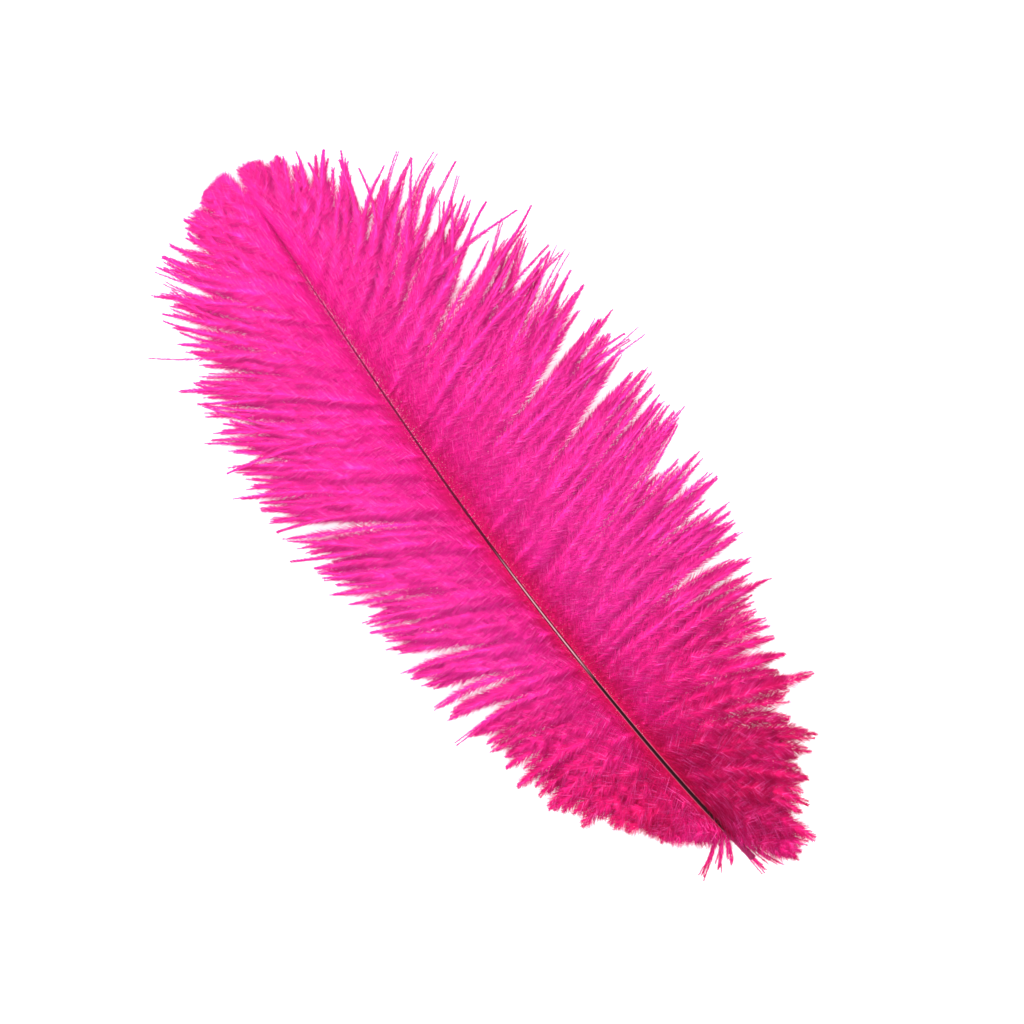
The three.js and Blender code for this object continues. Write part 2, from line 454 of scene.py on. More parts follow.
# adds nodes to a tree, joined by the sockets that are given
class TreeMaker:
    def __init__(self, tree):
        self.tree = tree

    def add(self, kind, settings=None, **sockets):
        node = self.tree.nodes.new(kind)
        for key, value in (settings or {}).items():
            setattr(node, key, value)
        for key, value in sockets.items():
            self.put(node.inputs[key.replace("_", " ")], value)
        return node

    def put(self, socket, value):
        if isinstance(value, bpy.types.NodeSocket):
            self.tree.links.new(value, socket)
        else:
            socket.default_value = value

    def reckon(self, kind, operation, values):
        node = self.add(kind, {"operation": operation})
        for socket, value in zip(node.inputs, values):
            self.put(socket, value)
        return node

    def math(self, operation, *values):
        return self.reckon("ShaderNodeMath", operation, values).outputs[0]

    def vector(self, operation, *values):
        return self.reckon("ShaderNodeVectorMath", operation, values).outputs["Vector"]

    def scaled(self, vector, factor):
        node = self.reckon("ShaderNodeVectorMath", "SCALE", [vector])
        self.put(node.inputs["Scale"], factor)
        return node.outputs["Vector"]

    def combined(self, **parts):
        return self.add("ShaderNodeCombineXYZ", **parts).outputs[0]

    def separated(self, vector):
        return self.add("ShaderNodeSeparateXYZ", Vector=vector).outputs

    # in geometry trees
    def named(self, name):
        node = self.add("GeometryNodeInputNamedAttribute", {"data_type": "FLOAT"}, Name=name)
        return node.outputs["Attribute"]

    def position(self):
        return self.add("GeometryNodeInputPosition").outputs[0]

    def random(self, low, high, seed):
        node = self.add("FunctionNodeRandomValue", {"data_type": "FLOAT"}, Seed=seed)
        self.put(node.inputs[2], low)
        self.put(node.inputs[3], high)
        return node.outputs[1]

    def store(self, geometry, name, value):
        return self.add(
            "GeometryNodeStoreNamedAttribute", {"data_type": "FLOAT", "domain": "POINT"},
            Geometry=geometry, Name=name, Value=value,
        ).outputs[0]

    # in materials
    def place(self):
        return self.add("ShaderNodeTexCoord").outputs["Object"]

    def attribute(self, name):
        return self.add("ShaderNodeAttribute", {"attribute_name": name}).outputs["Fac"]

    # 0 below low, 1 above high
    def between(self, value, low, high, kind="SMOOTHSTEP"):
        node = self.add("ShaderNodeMapRange", {"interpolation_type": kind}, Value=value)
        self.put(node.inputs["From Min"], low)
        self.put(node.inputs["From Max"], high)
        return node.outputs["Result"]

    def mixed(self, factor, first, second):
        node = self.add("ShaderNodeMix", {"data_type": "RGBA"})
        self.put(node.inputs[0], factor)
        self.put(node.inputs[6], first)
        self.put(node.inputs[7], second)
        return node.outputs[2]

    def ramp(self, factor, stops):
        node = self.add("ShaderNodeValToRGB", Fac=factor)
        elements = node.color_ramp.elements
        while len(elements) > 1:
            elements.remove(elements[-1])
        for i, (place, colour) in enumerate(stops):
            element = elements[0] if i == 0 else elements.new(place)
            element.position = place
            element.color = (*colour, 1)
        return node.outputs["Color"]


def newGroup(name, kind, inputs, outputs):
    tree = bpy.data.node_groups.new(name, kind)
    for way, sockets in (("INPUT", inputs), ("OUTPUT", outputs)):
        for names, socketKind in sockets:
            for socketName in names:
                tree.interface.new_socket(socketName, in_out=way, socket_type="NodeSocket" + socketKind)
    given = tree.nodes.new("NodeGroupInput").outputs
    return TreeMaker(tree), given, tree.nodes.new("NodeGroupOutput").inputs


# a needle one unit long, with how far along it and how far off its middle each point is
def unitNeedle(make):
    needle = make.add(
        "GeometryNodeMeshCone", {"fill_type": "NONE"},
        Vertices=3, Side_Segments=1, Radius_Top=0.0, Radius_Bottom=0.5, Depth=1.0,
    ).outputs["Mesh"]
    place = make.separated(make.position())
    needle = make.store(needle, "reach", place["Z"])
    return make.store(needle, "rim", make.math("MULTIPLY_ADD", place["Y"], 0.6, place["X"]))


# the barbs themselves, as three-sided tubes
def barbStems(make, curve):
    circle = make.add("GeometryNodeCurvePrimitiveCircle", Resolution=3, Radius=1).outputs["Curve"]
    corner = make.add("GeometryNodeInputIndex").outputs[0]
    circle = make.store(circle, "rim", make.math("MULTIPLY_ADD", corner, 0.45, -0.45))
    stems = make.add(
        "GeometryNodeCurveToMesh", Curve=curve, Profile_Curve=circle, Scale=make.named("thick"),
        Fill_Caps=True,
    )
    return make.store(stems.outputs["Mesh"], "reach", 0.0)


# barbules on both sides of each barb: every random value has a seed of its own
def barbuleNeedles(make, curve, given):
    def seed(number):
        return make.math("ADD", given["Seed"], number)

    even = make.add(
        "GeometryNodeResampleCurve", {"mode": "LENGTH"}, Curve=curve, Length=given["Barbule Spacing"])
    points = make.add("GeometryNodeCurveToPoints", {"mode": "EVALUATED"}, Curve=even.outputs["Curve"])
    pairs = make.add(
        "GeometryNodeDuplicateElements", {"domain": "POINT"}, Geometry=points.outputs["Points"], Amount=2)
    side = make.math("MULTIPLY_ADD", pairs.outputs["Duplicate Index"], 2.0, -1.0)

    # which way they point
    tangent = points.outputs["Tangent"]
    across = make.vector("NORMALIZE", make.vector("CROSS_PRODUCT", (0.0, 0.0, 1.0), tangent))
    leanSpread = given["Lean Spread"]
    extraLean = make.random(make.math("MULTIPLY", leanSpread, -1.0), leanSpread, given["Seed"])
    lean = make.math("ADD", make.named("lean"), extraLean)
    lift = make.random(make.math("MULTIPLY", given["Lift"], -1.0), given["Lift"], seed(11.0))
    forwards = make.scaled(tangent, make.math("COSINE", lean))
    sideways = make.scaled(across, make.math("MULTIPLY", make.math("SINE", lean), side))
    direction = make.vector("ADD", make.vector("ADD", forwards, sideways), make.combined(Z=lift))
    turned = make.add("FunctionNodeAlignRotationToVector", {"axis": "Z"}, Vector=direction)

    # how long and how wide they are
    lengthSpread, widthSpread = given["Length Spread"], given["Width Spread"]
    longest = make.math("MULTIPLY_ADD", lengthSpread, 0.3, 1.0)
    stretch = make.random(make.math("SUBTRACT", 1.0, lengthSpread), longest, seed(23.0))
    length = make.math("MULTIPLY", make.named("fluff"), stretch)
    widest = make.math("ADD", 1.0, widthSpread)
    broad = make.random(make.math("SUBTRACT", 1.0, widthSpread), widest, seed(37.0))
    width = make.math("MULTIPLY", given["Barbule Width"], broad)
    flecked = make.store(pairs.outputs["Geometry"], "fleck", make.random(0.0, 1.0, seed(51.0)))
    needles = make.add(
        "GeometryNodeInstanceOnPoints", Points=flecked, Instance=unitNeedle(make),
        Rotation=turned.outputs["Rotation"], Scale=make.combined(X=width, Y=width, Z=length),
    ).outputs["Instances"]
    return make.add("GeometryNodeRealizeInstances", Geometry=needles).outputs["Geometry"]


# a lane of the map for each barb, with its root at one end and its point at the other
def mapLanes(make, geometry, laneWidth):
    u = make.math("ADD", make.math("MULTIPLY_ADD", make.named("along"), 0.94, 0.02),
                  make.math("MULTIPLY", make.named("reach"), 0.02))
    v = make.math("ADD", make.named("lane"), make.math("MULTIPLY", make.named("rim"), laneWidth))
    return make.add(
        "GeometryNodeStoreNamedAttribute", {"data_type": "FLOAT2", "domain": "CORNER"},
        Geometry=geometry, Name="OFBake", Value=make.combined(X=u, Y=v),
    ).outputs[0]


# grows each guide line into a thin barb with barbules on both of its sides
def barbTree():
    numbers = ("Barbule Spacing", "Barbule Width", "Length Spread", "Width Spread", "Lean Spread", "Lift",
               "Floor Height", "Lane Width")
    make, given, result = newGroup(
        "growBarbs", "GeometryNodeTree",
        [(("Geometry",), "Geometry"), (numbers, "Float"), (("Seed",), "Int"), (("Material",), "Material")],
        [(("Geometry",), "Geometry")],
    )
    curve = make.add("GeometryNodeMeshToCurve", Mesh=given["Geometry"]).outputs["Curve"]
    stems = barbStems(make, curve)
    needles = barbuleNeedles(make, curve, given)
    joined = make.add("GeometryNodeJoinGeometry")
    make.put(joined.inputs[0], stems)
    make.put(joined.inputs[0], needles)
    mapped = mapLanes(make, joined.outputs[0], given["Lane Width"])

    # what would reach below the floor lies down on it
    here = make.separated(make.position())
    height = make.math("MAXIMUM", here["Z"], given["Floor Height"])
    rested = make.combined(X=here["X"], Y=here["Y"], Z=height)
    lying = make.add("GeometryNodeSetPosition", Geometry=mapped, Position=rested).outputs[0]
    smooth = make.add("GeometryNodeSetShadeSmooth", Geometry=lying).outputs[0]
    whole = make.add("GeometryNodeRealizeInstances", Geometry=smooth).outputs["Geometry"]
    finished = make.add("GeometryNodeSetMaterial", Geometry=whole, Material=given["Material"])
    make.put(result[0], finished.outputs[0])
    return make.tree


growBarbs = barbTree()


def growPiece(name, guides, material, seed):
    guide = newObject(name + "_guide", guideMesh(name + "_guide", guides))
    modifier = guide.modifiers.new("growBarbs", "NODES")
    modifier.node_group = growBarbs
    values = {
        "Barbule Spacing": barbule["spacing"],
        "Barbule Width": barbule["width"],
        "Length Spread": barbule["lengthSpread"],
        "Width Spread": barbule["widthSpread"],
        "Lean Spread": math.radians(barbule["leanSpread"]),
        "Lift": barbule["lift"],
        "Floor Height": ground + barbule["clearance"],
        "Lane Width": 0.9 / guides["points"].shape[0],
        "Seed": seed,
        "Material": material,
    }
    for item in growBarbs.interface.items_tree:
        if item.in_out == "INPUT" and item.name in values:
            modifier[item.identifier] = values[item.name]
    evaluated = guide.evaluated_get(bpy.context.evaluated_depsgraph_get())
    mesh = bpy.data.meshes.new_from_object(evaluated)
    mesh.name = name
    for spare in ("fluff", "lean", "thick", "rim", "lane", "reach", "radius"):
        if spare in mesh.attributes:
            mesh.attributes.remove(mesh.attributes[spare])
    bpy.data.objects.remove(guide)
    return newObject(name, mesh)


# colour that is darker towards the roots, with painted shade deepest beside the shaft and painted
# highlights as pale streaks on single barbules
dyeShadeHighlight = {
    "outward": (-0.12, 0.5),  # share of the barb over which the root's colour turns into the point's
    "pastShaftShade": (0.0, 0.13),  # share of the barb over which the painted shade beside the shaft ends
    "patchScale": 75.0,
    "patchEdge": (0.44, 0.62),
    "patchesTo": (0.12, 0.36),  # share of the shaft over which the patches fade
    "fadedPatches": 0.12,
    "highlightStrength": 0.45,
    "fleckTone": 0.4,  # how much single barbules differ
    "lighterHue": -0.012,
    "roughness": 0.72,
    "fleckGloss": -0.25,
    "specular": 0.03,
}


def strandDyeShadeHighlight():
    numbers = ("Along", "Tone", "Fleck", "Tone Spread", "Streaks", "Patches")
    make, given, result = newGroup(
        "strandDyeShadeHighlight", "ShaderNodeTree",
        [(("Shade And Deep Dye Colour", "Root Colour", "Point Colour", "Highlight Colour"), "Color"), (numbers, "Float")],
        [(("Colour",), "Color"), (("Roughness",), "Float")],
    )
    outward = make.between(given["Along"], *dyeShadeHighlight["outward"], kind="SMOOTHERSTEP")
    body = make.mixed(outward, given["Root Colour"], given["Point Colour"])
    # painted shade: along the first stretch of each barb the colour darkens towards the shaft
    pastShaftShade = make.between(given["Along"], *dyeShadeHighlight["pastShaftShade"])
    body = make.mixed(pastShaftShade, given["Shade And Deep Dye Colour"], body)
    noise = make.add(
        "ShaderNodeTexNoise", Vector=make.place(), Scale=dyeShadeHighlight["patchScale"], Detail=3.0, Roughness=0.6)
    patch = make.between(noise.outputs["Fac"], *dyeShadeHighlight["patchEdge"])
    body = make.mixed(make.math("MULTIPLY", patch, given["Patches"]), body, given["Shade And Deep Dye Colour"])
    # painted highlights: a share of single barbules turn pale, less so beside the shaft
    paintedHighlight = make.math("GREATER_THAN", given["Fleck"], make.math("SUBTRACT", 1.0, given["Streaks"]))
    paintedHighlight = make.math("MULTIPLY", paintedHighlight, make.math("MULTIPLY", pastShaftShade, dyeShadeHighlight["highlightStrength"]))
    highlighted = make.mixed(paintedHighlight, body, given["Highlight Colour"])
    fleckTone = make.math("MULTIPLY_ADD", given["Fleck"], dyeShadeHighlight["fleckTone"], -dyeShadeHighlight["fleckTone"] / 2)
    bright = make.math("ADD", given["Tone"], fleckTone)
    value = make.math("MULTIPLY_ADD", make.math("SUBTRACT", bright, 0.5), given["Tone Spread"], 1.0)
    hue = make.math("MULTIPLY_ADD", bright, dyeShadeHighlight["lighterHue"], 0.5 - dyeShadeHighlight["lighterHue"] / 2)
    varied = make.add("ShaderNodeHueSaturation", Hue=hue, Value=value, Color=highlighted)
    roughness = make.math("MULTIPLY_ADD", given["Fleck"], dyeShadeHighlight["fleckGloss"], dyeShadeHighlight["roughness"])
    make.put(result["Colour"], varied.outputs[0])
    make.put(result["Roughness"], roughness)
    return make.tree


dyeShadeHighlightGroup = strandDyeShadeHighlight()

# colours beside the shaft (painted shade there, and the colour of the deepest dye patches), at the roots
# and at the points of the barbs, each by share of the shaft
barbColours = {
    "shadeAndDeepDye": [(0.1, (0.5, 0.005, 0.065)), (0.5, (0.55, 0.007, 0.1)), (0.8, (0.55, 0.009, 0.15))],
    "rootward": [
        (0.1, (0.6, 0.007, 0.12)), (0.2, (0.7, 0.009, 0.18)), (0.36, (0.76, 0.013, 0.24)),
        (1, (0.88, 0.016, 0.32)),
    ],
    "outward": [
        (0.1, (0.84, 0.015, 0.17)), (0.22, (0.9, 0.02, 0.26)), (0.34, (0.98, 0.04, 0.42)),
        (1, (0.96, 0.034, 0.37)),
    ],
    # pale colour of the painted highlights on single barbules
    "paintedHighlight": (1, 0.16, 0.6),
    "toneSpread": 0.26,  # how much lighter or darker the strands are than each other
    "highlightShare": 0.12,  # share of the barbules with a pale streak of painted highlight
    "patches": 0.6,  # how deep the dye is where it took best
}
# the down has the same painted shade beside the shaft and the same painted highlight streaks
downColours = {
    "shadeAndDeepDye": [(0.03, (0.46, 0.005, 0.06)), (0.12, (0.5, 0.005, 0.065))],
    "rootward": [(0.03, (0.55, 0.006, 0.1)), (0.12, (0.68, 0.009, 0.14))],
    "outward": [(0.03, (0.86, 0.015, 0.26)), (0.12, (0.84, 0.015, 0.18))],
    "paintedHighlight": (1, 0.14, 0.55),
    "toneSpread": 0.36,
    "highlightShare": 0.2,
    "patches": 0.55,
}


def newMaterial(name):
    material = bpy.data.materials.new(name)
    material.use_nodes = True
    return material, TreeMaker(material.node_tree), material.node_tree.nodes["Principled BSDF"]


# a plumage material: dye, with painted shade beside the shaft and painted highlight streaks
def featherDyeShadeHighlight(name, colours):
    material, make, shader = newMaterial(name)
    dyeAndPaintedLight = make.add("ShaderNodeGroup", {"node_tree": dyeShadeHighlightGroup})
    for key in ("along", "tone", "fleck"):
        make.put(dyeAndPaintedLight.inputs[key.capitalize()], make.attribute(key))
    share = make.attribute("share")
    make.put(dyeAndPaintedLight.inputs["Shade And Deep Dye Colour"], make.ramp(share, colours["shadeAndDeepDye"]))
    make.put(dyeAndPaintedLight.inputs["Root Colour"], make.ramp(share, colours["rootward"]))
    make.put(dyeAndPaintedLight.inputs["Point Colour"], make.ramp(share, colours["outward"]))
    make.put(dyeAndPaintedLight.inputs["Highlight Colour"], (*colours["paintedHighlight"], 1))
    make.put(dyeAndPaintedLight.inputs["Tone Spread"], colours["toneSpread"])
    make.put(dyeAndPaintedLight.inputs["Streaks"], colours["highlightShare"])
    fading = make.math("SUBTRACT", 1.0, make.between(share, *dyeShadeHighlight["patchesTo"]))
    faded = dyeShadeHighlight["fadedPatches"]
    make.put(dyeAndPaintedLight.inputs["Patches"], make.math("MULTIPLY_ADD", fading, colours["patches"] - faded, faded))
    make.put(shader.inputs["Base Color"], dyeAndPaintedLight.outputs["Colour"])
    make.put(shader.inputs["Roughness"], dyeAndPaintedLight.outputs["Roughness"])
    shader.inputs["Specular IOR Level"].default_value = dyeShadeHighlight["specular"]
    return material


barbDyeShadeHighlight = featherDyeShadeHighlight("barbDyeShadeHighlight", barbColours)
downDyeShadeHighlight = featherDyeShadeHighlight("downDyeShadeHighlight", downColours)
print("dye ready")


# each lock's section, its number there and the shares between which its barbs are rooted
def lockRanges():
    low = quillShare
    for section in sections:
        width = (section["end"] - low) / section["locks"]
        for i in range(section["locks"]):
            yield section, i, low + i * width, low + (i + 1) * width
        low = section["end"]


# loose strands at the quill: share of the root, degrees from the shaft, degrees of turn, length in mm
wisps = {
    "left": [
        (0.052, 116, 16, 20), (0.055, 123, -8, 19), (0.05, 131, 10, 15.5), (0.053, 139, -6, 14.5),
        (0.05, 148, 8, 12), (0.045, 156, -6, 11.5),
    ],
    "right": [(0.05, 166, -10, 24), (0.052, 171, 8, 21), (0.055, 176, -8, 22.5), (0.06, 158, 12, 24)],
    "barbs": 3,
    "spread": 2.2,
    "lengths": (0.85, 1),
    "height": (0.8 * mm, 2.5 * mm),
    "fluff": 1.9 * mm,
    "seed": 5,
}

# short down between the shaft and what the plume lies on
underDown = {
    "shares": (0.055, 0.2),
    "count": 150,
    "reach": (7 * mm, 12 * mm),
    "degrees": (60, 125),
    "turn": 20,
    "height": (0.7 * mm, 2.5 * mm),
    "fluff": 3.2 * mm,
    "seed": 19,
}

# both of these are strands that stand by themselves
loose = {
    "rootRadius": 0.1 * mm,
    "rootDrop": 0.4,  # below the middle of the shaft, over its radius
    "wave": 0.35 * mm,
    "waveTurn": 7,  # radians along the strand
    "droop": 0.8,
    "lowest": 0.7 * mm,
    "toneWander": 0.2,
    "rootFluff": 0.4,  # over the full length of the barbules
    "pointFluff": 0.45,
    "lean": (40, 24),  # degrees between barbule and barb at the root and at the point
}


# guide lines for loose strands: all values are arrays with one row for each strand
def looseStrands(share, side, degrees, bend, length, height, fluff, rng):
    centre = shaftCentre(share)
    chord, heading = arc(degrees[:, None], bend[:, None], length[:, None], along)
    phase = rng.uniform(0, 6, len(share))[:, None]
    wave = loose["wave"] * np.sin(phase + loose["waveTurn"] * along) * along
    x = centre[:, 0][:, None] + chord * np.cos(heading) - np.sin(heading) * wave
    y = centre[:, 1][:, None] + side[:, None] * (chord * np.sin(heading) + np.cos(heading) * wave)
    start = centre[:, 2][:, None] - loose["rootDrop"] * shaftRadius(share)[:, None]
    z = np.maximum(mix(start, height[:, None], along ** loose["droop"]), ground + loose["lowest"])
    fullness = mix(loose["rootFluff"], 1, ease(0, 0.2, along)) * mix(1, loose["pointFluff"], along**2)
    return {
        "points": np.stack([x, y, z], -1),
        "along": along,
        "share": share[:, None],
        "tone": np.clip(0.5 + loose["toneWander"] * wander(len(share), rng), 0, 1),
        "lane": evenly(len(share))[:, None],
        "fluff": fluff * fullness,
        "lean": np.radians(mix(*loose["lean"], along)),
        "thick": mix(loose["rootRadius"], barb["pointRadius"], along),
    }


def wispStrands(name):
    rng = np.random.default_rng(wisps["seed"])
    rows = np.repeat(np.array(wisps[name], float), wisps["barbs"], axis=0)
    count = len(rows)
    degrees = rows[:, 1] + rng.normal(0, wisps["spread"], count)
    height = ground + rng.uniform(*wisps["height"], count)
    length = rows[:, 3] * rng.uniform(*wisps["lengths"], count) * mm
    side = np.full(count, vanes[name]["side"])
    return looseStrands(rows[:, 0], side, degrees, rows[:, 2], length, height, wisps["fluff"], rng)


# two sets of guide lines as one
def together(first, second):
    both = {"points": np.concatenate([first["points"], second["points"]])}
    count, steps = both["points"].shape[:2]
    for key in first:
        if key != "points":
            parts = [np.broadcast_to(part[key], part["points"].shape[:2]) for part in (first, second)]
            both[key] = np.concatenate(parts)
    both["lane"] = np.broadcast_to(evenly(count)[:, None], (count, steps))
    return both


# a piece between the middles of two sections: its placement is baked into its mesh, and nothing binds it to
# the joint between them
def bendWith(piece):
    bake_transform(piece)


# a lock in the quill-side half of the first section or the tip-side half of the last is attached to that
# section's body; any other lock only has its placement baked into its mesh
def followSections(piece, section, share):
    number = sections.index(section)
    low = sections[number - 1]["end"] if number else 0
    before = share < (low + section["end"]) / 2
    if (before and number == 0) or (not before and number == len(sections) - 1):
        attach(piece, section["body"])
    else:
        bendWith(piece)


def makeVane(name, vane):
    rng = np.random.default_rng(barb["seed"] + (vane["side"] > 0))
    for section, i, low, high in lockRanges():
        isDown = section["name"] == "base" and i == 0
        node = f"down_{name}" if isDown else f"barbs_{name}_{section['name']}_{i + 1}"
        guides = Lock(vane, low, high, rng).guides()
        if isDown:
            guides = together(guides, wispStrands(name))
        dyeAndPaintedLight = downDyeShadeHighlight if isDown else barbDyeShadeHighlight
        piece = growPiece(node + "_plumage", guides, dyeAndPaintedLight, int(rng.integers(1, 9999)))
        middle = (low + high) / 2
        angle = math.radians(float(vane["table"](middle)[1]))
        followSections(piece, section, middle)
        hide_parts(node)
        print(piece.name, len(piece.data.polygons), "faces")


for name, vane in vanes.items():
    makeVane(name, vane)
print("vanes ready")


def makeUnderDown():
    rng = np.random.default_rng(underDown["seed"])
    count = underDown["count"]
    share = np.linspace(*underDown["shares"], count)
    side = np.where(np.arange(count) % 2, 1, -1)
    degrees = rng.uniform(*underDown["degrees"], count)
    length = rng.uniform(*underDown["reach"], count)
    height = ground + rng.uniform(*underDown["height"], count)
    bend = rng.normal(0, underDown["turn"], count)
    guides = looseStrands(share, side, degrees, bend, length, height, underDown["fluff"], rng)
    piece = growPiece("down_under_plumage", guides, downDyeShadeHighlight, underDown["seed"])
    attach(piece, "quill_and_base")
    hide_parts("down_under")


makeUnderDown()

horn = {
    "sides": 28,
    "crowding": 0.45,  # how much closer its points lie on top
    "step": 1.4 * mm,  # between two rings
    "grooveDepth": 0.38,  # over the shaft's radius
    "grooveWidth": 0.5,
    "grooveFrom": (0.03, 0.055),
    "grooveTo": (0.27, 0.36),
    "wall": 0.35 * mm,  # of the quill
    "chamfer": 0.08 * mm,
    "plugDepth": 0.7 * mm,  # how deep the dried pulp lies in the cut end
}
pithCore = {
    "radius": 0.5,  # over the shaft's radius
    "clearance": (0.003, 0.006),  # shares of the shaft left free at its ends
    "rings": 40,
}


# points round the shaft, closer together on top where the groove is
def shaftRing(share, scale, groove):
    turn = np.linspace(0, 2 * math.pi, horn["sides"], endpoint=False)
    turn = turn - horn["crowding"] * np.sin(turn)
    across, up = np.sin(turn), np.cos(turn)
    radius = shaftRadius(share) * scale
    dip = horn["grooveDepth"] * groove * np.exp(-((across / horn["grooveWidth"]) ** 2)) * (up > 0)
    centre = shaftCentre(share)
    x = np.full_like(across, centre[0])
    y = centre[1] + across * radius
    z = centre[2] + (up - dip) * radius * shaft["depth"]
    return np.stack([x, y, z], -1), across


# a closed stretch of horn or pith through rings of (share, scale of the shaft's radius)
def loftPiece(name, rings, material, grooved=True):
    points, across = [], []
    for place, scale in rings:
        groove = (1 - ease(*horn["grooveTo"], place)) * ease(*horn["grooveFrom"], place)
        ring, ringAcross = shaftRing(place, scale, groove if grooved else 0)
        points.append(ring)
        across.append(ringAcross)
    sides, count = horn["sides"], len(rings)
    ends = [points[0].mean(0), points[-1].mean(0)]
    vertices = np.concatenate([*points, ends])
    faces = []
    for i in range(count - 1):
        for k in range(sides):
            a, b = i * sides + k, i * sides + (k + 1) % sides
            faces.append((a, b, b + sides, a + sides))
    last = (count - 1) * sides
    for k in range(sides):
        faces.append((count * sides, (k + 1) % sides, k))
        faces.append((count * sides + 1, last + k, last + (k + 1) % sides))
    mesh = bpy.data.meshes.new(name)
    mesh.from_pydata(vertices.tolist(), [], faces)
    share = np.repeat([place for place, scale in rings], sides)
    values = {
        "across": np.concatenate([*across, [0, 0]]),
        "share": np.concatenate([share, [rings[0][0], rings[-1][0]]]),
    }
    for key, value in values.items():
        mesh.attributes.new(key, "FLOAT", "POINT").data.foreach_set("value", value.astype(np.float32))
    mesh.shade_smooth()
    mesh.materials.append(material)
    return newObject(name, mesh)


# fine lines along the shaft, for horn and for pith
def lengthwiseGrain():
    make, given, result = newGroup(
        "lengthwiseGrain", "ShaderNodeTree",
        [(("Fineness", "Stretch", "Contrast"), "Float")],
        [(("Grain", "Roughness"), "Float"), (("Normal",), "Vector")],
    )
    place = make.separated(make.place())
    lengthwise = make.math("DIVIDE", place["X"], given["Stretch"])
    squeezed = make.combined(X=lengthwise, Y=place["Y"], Z=place["Z"])
    noise = make.add(
        "ShaderNodeTexNoise", Vector=squeezed, Scale=given["Fineness"], Detail=3.0, Roughness=0.6)
    uneven = make.math("SUBTRACT", noise.outputs["Fac"], 0.5)
    grain = make.math("MULTIPLY_ADD", uneven, given["Contrast"], 0.5)
    bump = make.add("ShaderNodeBump", Strength=0.25, Distance=0.1 * mm, Height=grain)
    make.put(result["Grain"], grain)
    make.put(result["Roughness"], make.math("MULTIPLY_ADD", grain, 0.25, 0.2))
    make.put(result["Normal"], bump.outputs["Normal"])
    return make.tree


grainGroup = lengthwiseGrain()

# horn: a near-black groove between pale rims that are a painted highlight near the quill, then a pale crest
# that is a painted highlight over the horn's own gloss, then a thin dark line
hornColours = {
    # from the middle of the top to the side
    "quill": [(0, (0.2, 0.012, 0.06)), (0.6, (0.24, 0.012, 0.07)), (1, (0.4, 0.02, 0.13))],
    # a near-black groove; the pale stop near the side is a painted highlight on its rims
    "grooved": [
        (0, (0.01, 0, 0.002)), (0.5, (0.013, 0, 0.003)), (0.68, (0.2, 0.03, 0.06)),
        (0.84, (0.55, 0.16, 0.24)), (1, (0.4, 0.02, 0.1)),
    ],
    # painted highlight: a pale crest along the top, dark at the sides
    "highlitCrest": [
        (0, (0.55, 0.3, 0.34)), (0.2, (0.42, 0.18, 0.22)), (0.45, (0.06, 0.004, 0.014)),
        (0.8, (0.05, 0.002, 0.012)), (1, (0.2, 0.006, 0.04)),
    ],
    # by share of the shaft
    "line": [(0.47, (0.05, 0.002, 0.012)), (0.75, (0.13, 0.004, 0.035)), (1, (0.34, 0.008, 0.1))],
    "groovedFrom": (0.045, 0.052),
    "highlitCrestFrom": (0.29, 0.335),
    "lineFrom": (0.44, 0.5),
    "grain": {"Fineness": 5200.0, "Stretch": 40.0, "Contrast": 1.5},
    "specular": 0.07,
}
pithColours = {
    "grained": [(0.2, (0.42, 0.13, 0.2)), (0.5, (0.62, 0.27, 0.35)), (0.8, (0.78, 0.46, 0.52))],
    "grain": {"Fineness": 3800.0, "Stretch": 3.0, "Contrast": 2.0},
    "roughness": 0.85,
    "specular": 0.2,
}


def hornDyeAndHighlights():
    material, make, shader = newMaterial("keratinDyeAndHighlights")
    grain = make.add("ShaderNodeGroup", {"node_tree": grainGroup}, **hornColours["grain"]).outputs
    side = make.math("ABSOLUTE", make.attribute("across"))
    share = make.attribute("share")
    colour = make.ramp(side, hornColours["quill"])
    for name, factor in (("grooved", side), ("highlitCrest", side), ("line", share)):
        here = make.between(share, *hornColours[name + "From"])
        colour = make.mixed(here, colour, make.ramp(factor, hornColours[name]))
    lightness = make.math("MULTIPLY_ADD", grain["Grain"], 0.5, 0.75)
    shade = make.add("ShaderNodeHueSaturation", Value=lightness, Color=colour)
    make.put(shader.inputs["Base Color"], shade.outputs[0])
    make.put(shader.inputs["Roughness"], grain["Roughness"])
    make.put(shader.inputs["Normal"], grain["Normal"])
    shader.inputs["Specular IOR Level"].default_value = hornColours["specular"]
    return material


def driedPith():
    material, make, shader = newMaterial("pith")
    grain = make.add("ShaderNodeGroup", {"node_tree": grainGroup}, **pithColours["grain"]).outputs
    make.put(shader.inputs["Base Color"], make.ramp(grain["Grain"], pithColours["grained"]))
    make.put(shader.inputs["Normal"], grain["Normal"])
    shader.inputs["Roughness"].default_value = pithColours["roughness"]
    shader.inputs["Specular IOR Level"].default_value = pithColours["specular"]
    return material


keratin = hornDyeAndHighlights()
pith = driedPith()


# horn from the middle of one section to the middle of the next; the last stretch is attached to the tip
# section's body, the others only have their placement baked into their mesh
def makeShaft():
    low = quillShare
    for number, section in enumerate(sections):
        last = number == len(sections) - 1
        high = 1 if last else (section["end"] + sections[number + 1]["end"]) / 2
        count = int((high - low) * shaft["length"] / horn["step"])
        rings = [(share, 1) for share in np.linspace(low, high, count)]
        piece = loftPiece(f"shaft_{section['name']}_horn", rings, keratin)
        if last:
            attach(piece, section["body"])
        else:
            bendWith(piece)
        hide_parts(f"shaft_{section['name']}")
        low = high


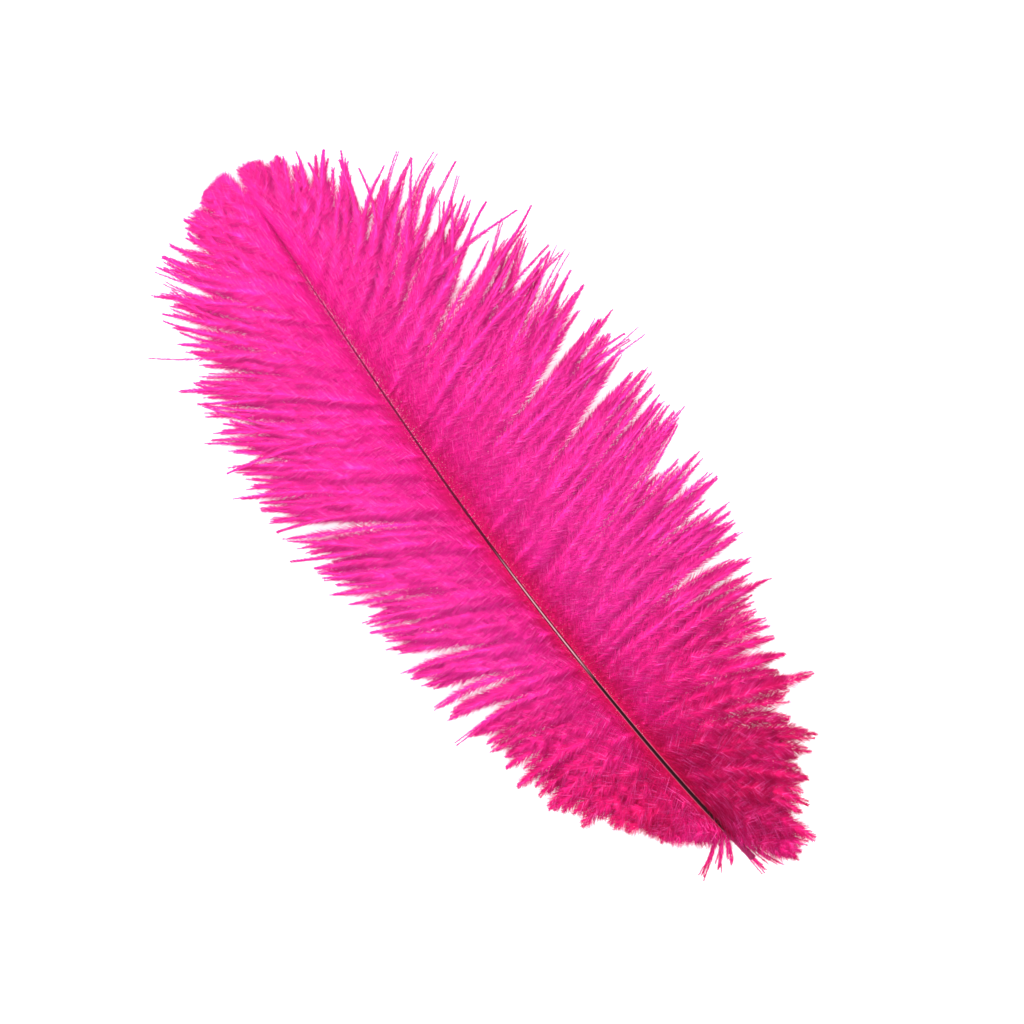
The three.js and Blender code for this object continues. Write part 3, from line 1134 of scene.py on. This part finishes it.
# from the plug in the bore round the cut end and up the outside
def makeQuill():
    bore = 1 - horn["wall"] / shaft["quillRadius"]
    chamfer = horn["chamfer"] / shaft["quillRadius"]
    plug = horn["plugDepth"] / shaft["length"]
    rings = [(plug, 0.5 * bore), (plug, bore), (0.02 * plug, bore + 0.02), (0, bore + chamfer)]
    rings.append((0, 1 - chamfer))
    rings += [(share, 1) for share in np.linspace(horn["chamfer"] / shaft["length"], quillShare, 12)]
    piece = loftPiece("quill_horn", rings, keratin)
    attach(piece, "quill_and_base")
    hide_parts("quill")


def makePith():
    low = quillShare + pithCore["clearance"][0]
    high = sections[0]["end"] - pithCore["clearance"][1]
    rings = [(share, pithCore["radius"]) for share in np.linspace(low, high, pithCore["rings"])]
    piece = loftPiece("pith_core", rings, pith, grooved=False)
    bendWith(piece)
    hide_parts("pith_base")


makeShaft()
makeQuill()
makePith()
for name in ("pulp_cap_1", "pulp_cap_2"):
    for slot in bpy.data.objects[name].material_slots:
        slot.material = pith
print("shaft and quill ready")

# camera straight above, turned so that the plume runs from lower right to upper left
view = {"centre": (143.2 * mm, -6.05 * mm), "turn": -127.28, "lens": 100, "width": 348 * mm}
camera = newObject("camera", bpy.data.cameras.new("camera"))
camera.data.lens = view["lens"]
camera.data.clip_start = 50 * mm
camera.location = (*view["centre"], view["width"] * view["lens"] / camera.data.sensor_width)
camera.rotation_euler = (0, 0, math.radians(view["turn"]))
bpy.context.scene.camera = camera

# lamps: place, size and watts
studio = {
    "floorReach": 3,
    "floorColour": (0.5, 0.5, 0.5, 1),
    "floorGlow": 0.88,
    "sky": 1.08,
    "aim": (0.14, 0, 0),
    "lamps": {"key": ((0.75, 0.1, 1.1), 0.8, 18), "fill": ((-0.4, -0.5, 1.0), 1.0, 5)},
}


def palePaper():
    material, make, shader = newMaterial("floorPaper")
    shader.inputs["Base Color"].default_value = studio["floorColour"]
    shader.inputs["Roughness"].default_value = 0.9
    shader.inputs["Specular IOR Level"].default_value = 0
    shader.inputs["Emission Color"].default_value = (1, 1, 1, 1)
    shader.inputs["Emission Strength"].default_value = studio["floorGlow"]
    return material


def layFloor():
    reach = studio["floorReach"]
    corners = [(x * reach, y * reach, ground) for x, y in ((-1, -1), (1, -1), (1, 1), (-1, 1))]
    mesh = bpy.data.meshes.new("floor")
    mesh.from_pydata(corners, [], [(0, 1, 2, 3)])
    mesh.materials.append(palePaper())
    floor = newObject("floor", mesh)


def softLight(name, place, size, watts):
    lamp = newObject(name, bpy.data.lights.new(name, "AREA"))
    lamp.data.size = size
    lamp.data.energy = watts
    lamp.location = place
    lamp.rotation_euler = (Vector(studio["aim"]) - Vector(place)).to_track_quat("-Z", "Y").to_euler()


layFloor()
for name, (place, size, watts) in studio["lamps"].items():
    softLight(name, place, size, watts)
world = bpy.data.worlds.new("studio")
world.use_nodes = True
world.node_tree.nodes["Background"].inputs["Color"].default_value = (1, 1, 1, 1)
world.node_tree.nodes["Background"].inputs["Strength"].default_value = studio["sky"]
bpy.context.scene.world = world
bpy.context.scene.view_settings.view_transform = "Standard"
print("studio ready")
